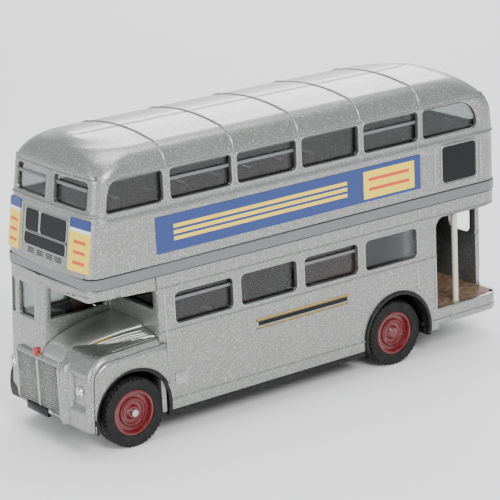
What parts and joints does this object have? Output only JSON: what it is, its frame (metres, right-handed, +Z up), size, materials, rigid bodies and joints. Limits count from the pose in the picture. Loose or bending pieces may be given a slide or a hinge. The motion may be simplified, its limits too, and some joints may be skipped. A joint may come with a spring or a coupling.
{
  "type": "die-cast double decker bus model",
  "caption": "Die-cast scale model of a half-cab double decker bus with an open rear platform; both wheelsets roll freely.",
  "frame": {"origin": "centre of the overall box at the ground under the tyres", "axes": "+X forward to the bonnet, +Y to the nearside with the platform, +Z up"},
  "size_m": [0.124, 0.0366, 0.0696],
  "materials": {
    "silver_casting": "silver metallic paint on zinc",
    "grey_band": "light grey moulded plastic",
    "grey_stairs": "grey moulded plastic",
    "clear_glazing": "clear moulded glazing",
    "red_benches": "red moulded plastic",
    "ivory_wheel": "ivory moulded plastic",
    "brown_floor": "brown moulded plastic",
    "cream_pole": "cream moulded plastic",
    "black_base": "black moulded plastic",
    "bright_rivets": "plain rivet heads",
    "steel_rod": "plain steel rod",
    "red_wheels": "dark red gloss plastic",
    "tyre_rubber": "black rubber"
  },
  "bodies": {
    "bodywork": {"upper_body": "silver_casting", "lower_body": "silver_casting", "deck_band": "grey_band", "stair_casing": "grey_stairs", "upper_glazing": "clear_glazing", "lower_glazing": "clear_glazing", "cab_glazing": "clear_glazing", "upper_benches": "red_benches", "lower_benches": "red_benches", "driver_bench": "red_benches", "steering_wheel": "ivory_wheel", "saloon_floor": "brown_floor", "platform_pole": "cream_pole", "chassis": "black_base", "base_rivets": "bright_rivets"},
    "front_wheelset": {"front_axle": "steel_rod", "front_wheel_left": "red_wheels", "front_wheel_right": "red_wheels", "front_tyre_left": "tyre_rubber", "front_tyre_right": "tyre_rubber"},
    "rear_wheelset": {"rear_axle": "steel_rod", "rear_wheel_left": "red_wheels", "rear_wheel_right": "red_wheels", "rear_tyre_left": "tyre_rubber", "rear_tyre_right": "tyre_rubber"}
  },
  "joints": [
    {"name": "front_wheelset_spin", "type": "hinge", "parent": "bodywork", "child": "front_wheelset", "pos_m": [0.0498, 0, 0.0081], "axis": [0, 1, 0], "continuous": true},
    {"name": "rear_wheelset_spin", "type": "hinge", "parent": "bodywork", "child": "rear_wheelset", "pos_m": [-0.0276, 0, 0.0081], "axis": [0, 1, 0], "continuous": true}
  ]
}
